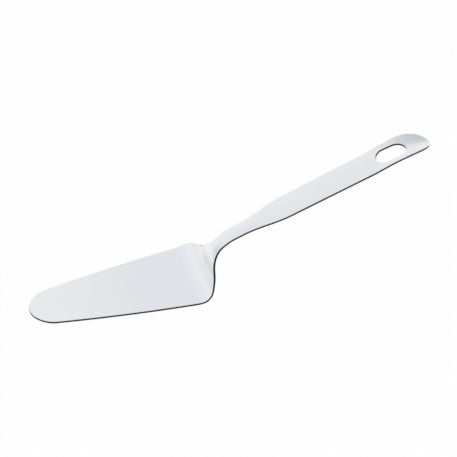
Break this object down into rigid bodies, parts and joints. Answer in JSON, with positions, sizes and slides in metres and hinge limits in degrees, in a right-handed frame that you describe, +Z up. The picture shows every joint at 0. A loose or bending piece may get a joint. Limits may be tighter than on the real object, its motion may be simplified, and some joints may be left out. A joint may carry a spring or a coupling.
{
  "type": "cake server",
  "caption": "One-piece pressed steel cake server: flat round-tipped blade, raised narrow neck, long grip with a drooping, dished round end and an oblong hanging slot.",
  "frame": {"origin": "middle of the flat underside of the blade", "axes": "+X from the blade's tip towards the end of the handle, +Y across the blade, +Z up from the underside"},
  "size_m": [0.2676, 0.0538, 0.0761],
  "materials": {
    "steel": "satin polished stainless steel"
  },
  "bodies": {
    "root": {"blade": "steel", "neck": "steel", "handle": "steel"}
  },
  "joints": []
}
